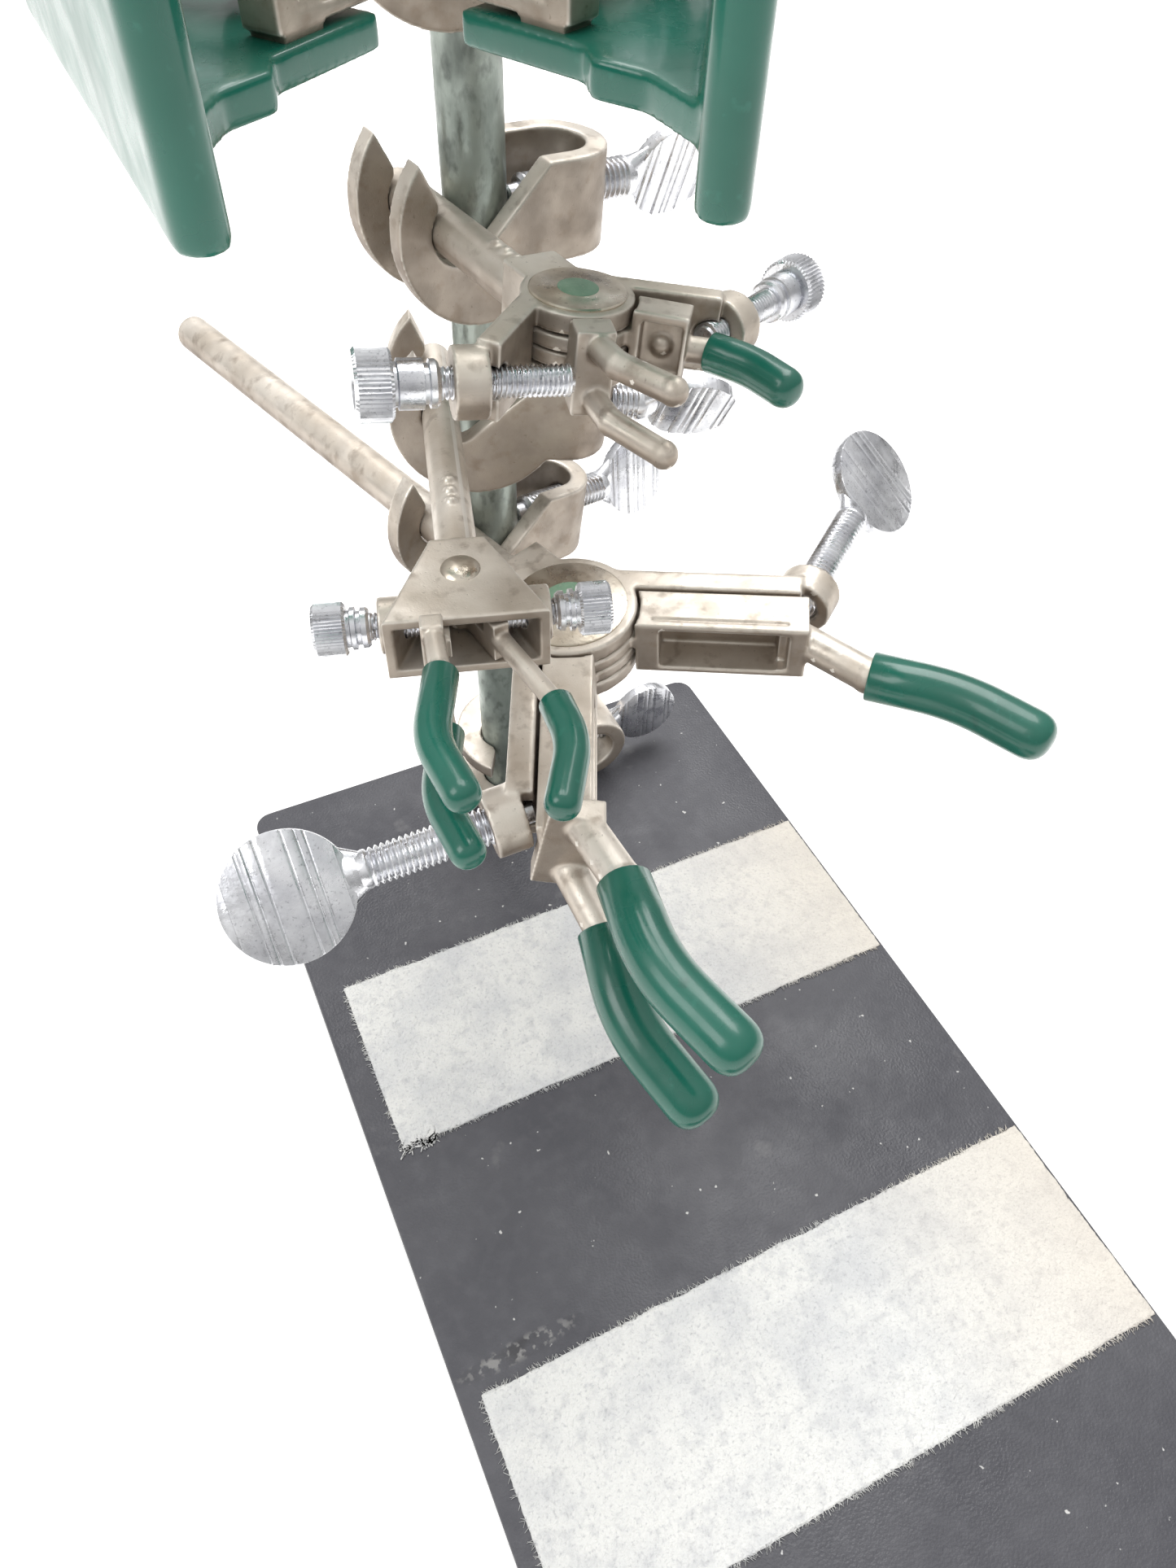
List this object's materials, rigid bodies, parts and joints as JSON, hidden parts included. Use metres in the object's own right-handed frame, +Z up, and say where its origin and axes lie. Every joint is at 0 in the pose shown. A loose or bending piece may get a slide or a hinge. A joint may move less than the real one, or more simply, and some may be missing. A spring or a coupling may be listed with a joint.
{
  "type": "retort stand",
  "caption": "Retort stand: painted rectangular base plate, round steel rod, hook connectors with thumbscrews, and finger, utility and angle-jaw clamps with green vinyl sleeves.",
  "frame": {"origin": "on the support rod's axis, on the underside of the base plate", "axes": "+Z up along the support rod, +X to the right across the base plate, +Y towards the base plate's near edge behind the rod"},
  "size_m": [0.1883, 0.3807, 0.608],
  "materials": {
    "base_paint": "dark charcoal pebbled paint",
    "galvanised_steel": "dull grey-green zinc with dark blotches",
    "cloth_tape": "white fibrous cloth tape",
    "nickel_casting": "satin nickel plating with pits and brown stains",
    "nickel_pin": "satin nickel",
    "bright_screw": "bright zinc",
    "green_vinyl": "glossy dipped vinyl",
    "green_dot": "painted spot"
  },
  "bodies": {
    "stand": {"base_plate": "base_paint", "support_rod": "galvanised_steel", "back_tape": "cloth_tape", "front_tape": "cloth_tape"},
    "angle_connector_body": {"angle_connector": "nickel_casting"},
    "angle_connector_screw_body": {"angle_connector_screw": "bright_screw"},
    "angle_clamp": {"angle_yoke": "nickel_casting", "angle_pivot": "nickel_pin", "angle_cap": "green_dot"},
    "angle_right_jaw_body": {"angle_right_jaw": "nickel_casting", "angle_right_coat": "green_vinyl"},
    "angle_right_screw_body": {"angle_right_screw": "bright_screw"},
    "angle_left_jaw_body": {"angle_left_jaw": "nickel_casting", "angle_left_coat": "green_vinyl"},
    "angle_left_screw_body": {"angle_left_screw": "bright_screw"},
    "small_connector_body": {"small_connector": "nickel_casting"},
    "small_connector_screw_body": {"small_connector_screw": "bright_screw"},
    "small_clamp": {"small_yoke": "nickel_casting", "small_pivot": "nickel_pin", "small_cap": "green_dot"},
    "small_single_jaw_body": {"small_single_jaw": "nickel_casting", "small_single_sleeve": "green_vinyl"},
    "small_single_screw_body": {"small_single_screw": "bright_screw"},
    "small_fork_jaw_body": {"small_fork_jaw": "nickel_casting"},
    "small_fork_screw_body": {"small_fork_screw": "bright_screw"},
    "utility_connector_body": {"utility_connector": "nickel_casting"},
    "utility_connector_screw_body": {"utility_connector_screw": "bright_screw"},
    "utility_clamp": {"utility_body": "nickel_casting", "utility_rivet": "nickel_pin"},
    "utility_left_jaw_body": {"utility_left_jaw": "nickel_casting", "utility_left_sleeves": "green_vinyl"},
    "utility_left_screw_body": {"utility_left_screw": "bright_screw"},
    "utility_right_jaw_body": {"utility_right_jaw": "nickel_casting", "utility_right_sleeve": "green_vinyl"},
    "utility_right_screw_body": {"utility_right_screw": "bright_screw"},
    "large_connector_body": {"large_connector": "nickel_casting"},
    "large_connector_screw_body": {"large_connector_screw": "bright_screw"},
    "large_clamp": {"large_yoke": "nickel_casting", "large_pivot": "nickel_pin", "large_cap": "green_dot"},
    "large_single_jaw_body": {"large_single_jaw": "nickel_casting", "large_single_sleeve": "green_vinyl"},
    "large_single_screw_body": {"large_single_screw": "bright_screw"},
    "large_fork_jaw_body": {"large_fork_jaw": "nickel_casting", "large_fork_sleeves": "green_vinyl"},
    "large_fork_screw_body": {"large_fork_screw": "bright_screw"},
    "spare_connector_body": {"spare_connector": "nickel_casting"},
    "spare_connector_screw_body": {"spare_connector_screw": "bright_screw"}
  },
  "joints": [
    {"name": "angle_connector_slide", "type": "slide", "parent": "stand", "child": "angle_connector_body", "axis": [0, 0, 1], "range_m": [-0.003, 0.12]},
    {"name": "angle_connector_screw_turn", "type": "hinge", "parent": "angle_connector_body", "child": "angle_connector_screw_body", "pos_m": [0.04655, -0.01204, 0.23003], "axis": [0.9587, -0.2479, -0.1392], "continuous": true},
    {"name": "angle_rod_turn", "type": "hinge", "parent": "angle_connector_body", "child": "angle_clamp", "pos_m": [-0.01055, 0.00273, 0.238], "axis": [-0.2504, -0.9681, 0], "range_deg": [-20, 20]},
    {"name": "angle_right_jaw_turn", "type": "hinge", "parent": "angle_clamp", "child": "angle_right_jaw_body", "pos_m": [-0.01857, -0.02825, 0.238], "axis": [0, 0, -1], "range_deg": [0, 14]},
    {"name": "angle_right_screw_travel", "type": "slide", "parent": "angle_clamp", "child": "angle_right_screw_body", "axis": [-0.9954, -0.0958, 0], "range_m": [0, 0.00485]},
    {"name": "angle_left_jaw_turn", "type": "hinge", "parent": "angle_clamp", "child": "angle_left_jaw_body", "pos_m": [-0.01857, -0.02825, 0.238], "axis": [0, 0, 1], "range_deg": [0, 14]},
    {"name": "angle_left_screw_travel", "type": "slide", "parent": "angle_clamp", "child": "angle_left_screw_body", "axis": [0.8241, -0.5664, 0], "range_m": [0, 0.00485]},
    {"name": "small_connector_slide", "type": "slide", "parent": "stand", "child": "small_connector_body", "axis": [0, 0, 1], "range_m": [-0.0005, 0.008]},
    {"name": "small_connector_screw_turn", "type": "hinge", "parent": "small_connector_body", "child": "small_connector_screw_body", "pos_m": [0.04775, 0.00671, 0.18402], "axis": [0.9889, 0.139, -0.0523], "continuous": true},
    {"name": "small_rod_turn", "type": "hinge", "parent": "small_connector_body", "child": "small_clamp", "pos_m": [-0.01079, -0.00152, 0.187], "axis": [0.1392, -0.9903, 0], "range_deg": [-3, 3]},
    {"name": "small_single_jaw_turn", "type": "hinge", "parent": "small_clamp", "child": "small_single_jaw_body", "pos_m": [-0.00342, -0.054, 0.187], "axis": [-0.0863, -0.0121, -0.9962], "range_deg": [0, 20]},
    {"name": "small_single_screw_travel", "type": "slide", "parent": "small_clamp", "child": "small_single_screw_body", "axis": [-0.8794, -0.469, 0.0819], "range_m": [0, 0.00789]},
    {"name": "small_fork_jaw_turn", "type": "hinge", "parent": "small_clamp", "child": "small_fork_jaw_body", "pos_m": [-0.00342, -0.054, 0.187], "axis": [0.0863, 0.0121, 0.9962], "range_deg": [-22, 0]},
    {"name": "small_fork_screw_travel", "type": "slide", "parent": "small_clamp", "child": "small_fork_screw_body", "axis": [0.9746, -0.2084, -0.0819], "range_m": [-0.00839, 0]},
    {"name": "utility_connector_slide", "type": "slide", "parent": "stand", "child": "utility_connector_body", "axis": [0, 0, 1], "range_m": [-0.0005, 0.001]},
    {"name": "utility_connector_screw_turn", "type": "hinge", "parent": "utility_connector_body", "child": "utility_connector_screw_body", "pos_m": [0.0461, -0.01365, 0.1391], "axis": [0.9495, -0.2813, -0.1392], "continuous": true},
    {"name": "utility_rod_turn", "type": "hinge", "parent": "utility_connector_body", "child": "utility_clamp", "pos_m": [-0.01021, 0.00302, 0.147], "axis": [-0.284, -0.9588, 0], "range_deg": [-2, 2]},
    {"name": "utility_left_jaw_turn", "type": "hinge", "parent": "utility_clamp", "child": "utility_left_jaw_body", "pos_m": [-0.03038, -0.06505, 0.147], "axis": [0, 0, 1], "range_deg": [-9, 3]},
    {"name": "utility_left_screw_travel", "type": "slide", "parent": "utility_clamp", "child": "utility_left_screw_body", "axis": [0.9588, -0.284, 0], "range_m": [-0.00138, 0.00046]},
    {"name": "utility_right_jaw_turn", "type": "hinge", "parent": "utility_clamp", "child": "utility_right_jaw_body", "pos_m": [-0.03038, -0.06505, 0.147], "axis": [0, 0, -1], "range_deg": [-9, 3]},
    {"name": "utility_right_screw_travel", "type": "slide", "parent": "utility_clamp", "child": "utility_right_screw_body", "axis": [-0.9588, 0.284, 0], "range_m": [-0.00181, 0.0006]},
    {"name": "large_connector_slide", "type": "slide", "parent": "stand", "child": "large_connector_body", "axis": [0, 0, 1], "range_m": [-0.02, 0.0005]},
    {"name": "large_connector_screw_turn", "type": "hinge", "parent": "large_connector_body", "child": "large_connector_screw_body", "pos_m": [0.04614, 0.01349, 0.10382], "axis": [0.9505, 0.2779, -0.1392], "continuous": true},
    {"name": "large_rod_turn", "type": "hinge", "parent": "large_connector_body", "child": "large_clamp", "pos_m": [-0.01118, -0.00327, 0.112], "axis": [0.2807, -0.9598, 0], "range_deg": [-4, 4]},
    {"name": "large_single_jaw_turn", "type": "hinge", "parent": "large_clamp", "child": "large_single_jaw_body", "pos_m": [0.00103, -0.04502, 0.112], "axis": [0.1003, 0.0293, -0.9945], "range_deg": [0, 19]},
    {"name": "large_single_screw_travel", "type": "slide", "parent": "large_clamp", "child": "large_single_screw_body", "axis": [-0.801, -0.5906, -0.0982], "range_m": [0, 0.01655]},
    {"name": "large_fork_jaw_turn", "type": "hinge", "parent": "large_clamp", "child": "large_fork_jaw_body", "pos_m": [0.00103, -0.04502, 0.112], "axis": [-0.1003, -0.0293, 0.9945], "range_deg": [0, 19]},
    {"name": "large_fork_screw_travel", "type": "slide", "parent": "large_clamp", "child": "large_fork_screw_body", "axis": [0.993, -0.066, 0.0982], "range_m": [0, 0.01655]},
    {"name": "spare_connector_slide", "type": "slide", "parent": "stand", "child": "spare_connector_body", "axis": [0, 0, 1], "range_m": [-0.002, 0.03]},
    {"name": "spare_connector_screw_turn", "type": "hinge", "parent": "spare_connector_body", "child": "spare_connector_screw_body", "pos_m": [0.04815, 0, 0.0235], "axis": [1, 0, 0], "continuous": true}
  ],
  "couplings": [
    {"joint": "angle_right_screw_travel", "follows": "angle_right_jaw_turn", "m_per_rad": 0.019854},
    {"joint": "angle_left_screw_travel", "follows": "angle_left_jaw_turn", "m_per_rad": 0.019854},
    {"joint": "small_single_screw_travel", "follows": "small_single_jaw_turn", "m_per_rad": 0.022591},
    {"joint": "small_fork_screw_travel", "follows": "small_fork_jaw_turn", "m_per_rad": 0.021847},
    {"joint": "utility_left_screw_travel", "follows": "utility_left_jaw_turn", "m_per_rad": 0.0088},
    {"joint": "utility_right_screw_travel", "follows": "utility_right_jaw_turn", "m_per_rad": 0.0115},
    {"joint": "large_single_screw_travel", "follows": "large_single_jaw_turn", "m_per_rad": 0.049917},
    {"joint": "large_fork_screw_travel", "follows": "large_fork_jaw_turn", "m_per_rad": 0.049917}
  ]
}
